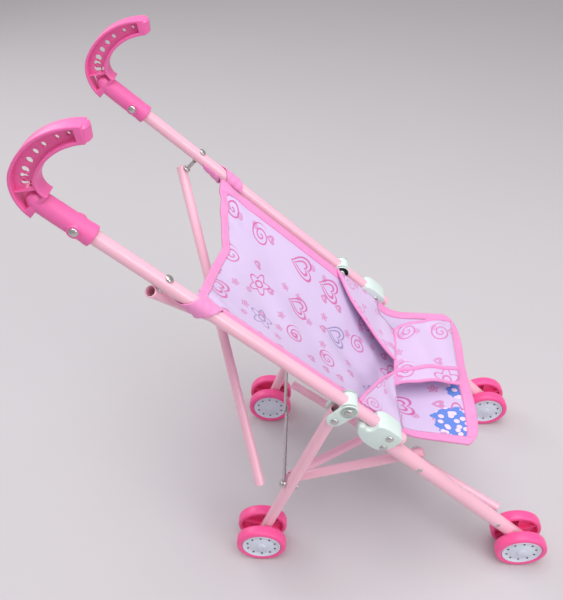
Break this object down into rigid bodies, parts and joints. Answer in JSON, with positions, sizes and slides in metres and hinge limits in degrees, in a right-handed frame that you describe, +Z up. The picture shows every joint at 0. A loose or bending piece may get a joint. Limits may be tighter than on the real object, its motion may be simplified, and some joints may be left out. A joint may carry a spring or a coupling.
{
  "type": "doll stroller",
  "caption": "Toy umbrella stroller for a doll: hooked handles, crossed tube frame that folds flat, fabric sling seat with harness and paired wheels.",
  "frame": {"origin": "middle of the whole stroller's footprint, on the floor under the wheels", "axes": "+X forwards, the way the stroller is pushed; +Y to the stroller's left; +Z up"},
  "size_m": [0.4704, 0.2364, 0.5343],
  "materials": {
    "painted_tube": "gloss paint, pale pink",
    "handle_plastic": "moulded, bright pink, soft sheen",
    "bracket_plastic": "moulded, pale mint white",
    "bright_steel": "zinc plated",
    "wheel_plastic": "moulded, hot pink",
    "cap_plastic": "moulded, white with a lilac cast",
    "sling_cloth": "printed vinyl cloth, lilac white with pink outline pictures and pink binding",
    "harness_webbing": "woven, pink"
  },
  "bodies": {
    "right_frame": {"push_tube_right": "painted_tube", "handle_right": "handle_plastic", "handle_rivet_right": "bright_steel", "leg_clip_right": "bracket_plastic", "clip_rivet_right": "bright_steel", "leg_pivot_rivet_right": "bright_steel", "splice_bracket_right": "bracket_plastic", "splice_rivet_right": "bright_steel", "front_leg_rivet_right": "bright_steel", "front_leg_right": "painted_tube", "back_cross_bolt_right": "bright_steel", "stay_bolt_right": "bright_steel", "under_cross_bolt_right": "bright_steel", "axle_front_right": "bright_steel", "seat_sling": "sling_cloth", "harness": "harness_webbing"},
    "rear_leg_right": {"rear_leg_right": "painted_tube", "rear_leg_bolt_right": "bright_steel", "axle_rear_right": "bright_steel"},
    "spreader_right": {"spreader_link_right": "bright_steel"},
    "side_stay_right": {"side_stay_right": "painted_tube"},
    "back_cross_right": {"back_cross_right": "painted_tube"},
    "under_cross_right": {"under_cross_right": "painted_tube"},
    "wheel_front_right_outer": {"wheel_front_right_outer": "wheel_plastic", "cap_front_right_outer": "cap_plastic"},
    "wheel_front_right_inner": {"wheel_front_right_inner": "wheel_plastic", "cap_front_right_inner": "cap_plastic"},
    "wheel_rear_right_outer": {"wheel_rear_right_outer": "wheel_plastic", "cap_rear_right_outer": "cap_plastic"},
    "wheel_rear_right_inner": {"wheel_rear_right_inner": "wheel_plastic", "cap_rear_right_inner": "cap_plastic"},
    "left_frame": {"push_tube_left": "painted_tube", "handle_left": "handle_plastic", "handle_rivet_left": "bright_steel", "leg_clip_left": "bracket_plastic", "clip_rivet_left": "bright_steel", "leg_pivot_rivet_left": "bright_steel", "splice_bracket_left": "bracket_plastic", "splice_rivet_left": "bright_steel", "front_leg_rivet_left": "bright_steel", "front_leg_left": "painted_tube", "back_cross_bolt_left": "bright_steel", "stay_bolt_left": "bright_steel", "under_cross_bolt_left": "bright_steel", "axle_front_left": "bright_steel"},
    "rear_leg_left": {"rear_leg_left": "painted_tube", "rear_leg_bolt_left": "bright_steel", "axle_rear_left": "bright_steel"},
    "spreader_left": {"spreader_link_left": "bright_steel"},
    "side_stay_left": {"side_stay_left": "painted_tube"},
    "back_cross_left": {"back_cross_left": "painted_tube"},
    "under_cross_left": {"under_cross_left": "painted_tube"},
    "wheel_front_left_outer": {"wheel_front_left_outer": "wheel_plastic", "cap_front_left_outer": "cap_plastic"},
    "wheel_front_left_inner": {"wheel_front_left_inner": "wheel_plastic", "cap_front_left_inner": "cap_plastic"},
    "wheel_rear_left_outer": {"wheel_rear_left_outer": "wheel_plastic", "cap_rear_left_outer": "cap_plastic"},
    "wheel_rear_left_inner": {"wheel_rear_left_inner": "wheel_plastic", "cap_rear_left_inner": "cap_plastic"}
  },
  "joints": [
    {"name": "width_fold", "type": "slide", "parent": "right_frame", "child": "left_frame", "axis": [0, -1, 0], "range_m": [0, 0.112], "deforming": ["seat_sling", "harness"]},
    {"name": "rear_leg_right_fold", "type": "hinge", "parent": "right_frame", "child": "rear_leg_right", "pos_m": [-0.00617, -0.0994, 0.24522], "axis": [0, -1, 0], "range_deg": [0, 46.08]},
    {"name": "rear_leg_left_fold", "type": "hinge", "parent": "left_frame", "child": "rear_leg_left", "pos_m": [-0.00617, 0.0994, 0.24522], "axis": [0, -1, 0], "range_deg": [0, 46.08]},
    {"name": "back_cross_left_swing", "type": "hinge", "parent": "left_frame", "child": "back_cross_left", "pos_m": [-0.16022, 0.0994, 0.38076], "axis": [0.6525, -0.4698, 0.5945], "range_deg": [0, 27.2]},
    {"name": "back_cross_right_swing", "type": "hinge", "parent": "right_frame", "child": "back_cross_right", "pos_m": [-0.15122, -0.0994, 0.39014], "axis": [-0.6324, -0.5022, -0.5898], "range_deg": [0, 26.34]},
    {"name": "under_cross_left_swing", "type": "hinge", "parent": "left_frame", "child": "under_cross_left", "pos_m": [0.16803, 0.0814, 0.07352], "axis": [-0.1072, -0.0433, -0.9933], "range_deg": [0, 27.15]},
    {"name": "under_cross_right_swing", "type": "hinge", "parent": "right_frame", "child": "under_cross_right", "pos_m": [0.17562, -0.0814, 0.06555], "axis": [0.0731, -0.0286, 0.9969], "range_deg": [0, 26.5]},
    {"name": "side_stay_right_fold", "type": "hinge", "parent": "right_frame", "child": "side_stay_right", "pos_m": [0.07976, -0.086, 0.16621], "axis": [0, -1, 0], "range_deg": [0, 50.5]},
    {"name": "side_stay_left_fold", "type": "hinge", "parent": "left_frame", "child": "side_stay_left", "pos_m": [0.07976, 0.086, 0.16621], "axis": [0, -1, 0], "range_deg": [0, 50.5]},
    {"name": "spreader_right_fold", "type": "hinge", "parent": "rear_leg_right", "child": "spreader_right", "pos_m": [-0.05523, -0.0994, 0.12784], "axis": [0.9438, 0, -0.3306], "range_deg": [0, 72.5]},
    {"name": "spreader_left_fold", "type": "hinge", "parent": "rear_leg_left", "child": "spreader_left", "pos_m": [-0.05712, 0.0994, 0.1285], "axis": [-0.9438, 0, 0.3306], "range_deg": [0, 72.5]},
    {"name": "wheel_front_right_outer_spin", "type": "hinge", "parent": "right_frame", "child": "wheel_front_right_outer", "pos_m": [0.20724, -0.0994, 0.028], "axis": [0, 1, 0], "continuous": true},
    {"name": "wheel_front_right_inner_spin", "type": "hinge", "parent": "right_frame", "child": "wheel_front_right_inner", "pos_m": [0.20724, -0.0994, 0.028], "axis": [0, 1, 0], "continuous": true},
    {"name": "wheel_rear_right_outer_spin", "type": "hinge", "parent": "rear_leg_right", "child": "wheel_rear_right_outer", "pos_m": [-0.08226, -0.0994, 0.028], "axis": [0, 1, 0], "continuous": true},
    {"name": "wheel_rear_right_inner_spin", "type": "hinge", "parent": "rear_leg_right", "child": "wheel_rear_right_inner", "pos_m": [-0.08226, -0.0994, 0.028], "axis": [0, 1, 0], "continuous": true},
    {"name": "wheel_front_left_outer_spin", "type": "hinge", "parent": "left_frame", "child": "wheel_front_left_outer", "pos_m": [0.20724, 0.0994, 0.028], "axis": [0, 1, 0], "continuous": true},
    {"name": "wheel_front_left_inner_spin", "type": "hinge", "parent": "left_frame", "child": "wheel_front_left_inner", "pos_m": [0.20724, 0.0994, 0.028], "axis": [0, 1, 0], "continuous": true},
    {"name": "wheel_rear_left_outer_spin", "type": "hinge", "parent": "rear_leg_left", "child": "wheel_rear_left_outer", "pos_m": [-0.08226, 0.0994, 0.028], "axis": [0, 1, 0], "continuous": true},
    {"name": "wheel_rear_left_inner_spin", "type": "hinge", "parent": "rear_leg_left", "child": "wheel_rear_left_inner", "pos_m": [-0.08226, 0.0994, 0.028], "axis": [0, 1, 0], "continuous": true}
  ],
  "couplings": [
    {"joint": "rear_leg_right_fold", "follows": "width_fold", "rad_per_m": 7.1024},
    {"joint": "rear_leg_left_fold", "follows": "width_fold", "rad_per_m": 7.1024},
    {"joint": "back_cross_left_swing", "follows": "width_fold", "rad_per_m": 4.1606},
    {"joint": "back_cross_right_swing", "follows": "width_fold", "rad_per_m": 4.0263},
    {"joint": "under_cross_left_swing", "follows": "width_fold", "rad_per_m": 4.1522},
    {"joint": "under_cross_right_swing", "follows": "width_fold", "rad_per_m": 4.0514},
    {"joint": "side_stay_right_fold", "follows": "width_fold", "rad_per_m": 7.7916},
    {"joint": "side_stay_left_fold", "follows": "width_fold", "rad_per_m": 7.7916},
    {"joint": "spreader_right_fold", "follows": "width_fold", "rad_per_m": 11.22},
    {"joint": "spreader_left_fold", "follows": "width_fold", "rad_per_m": 11.22}
  ]
}
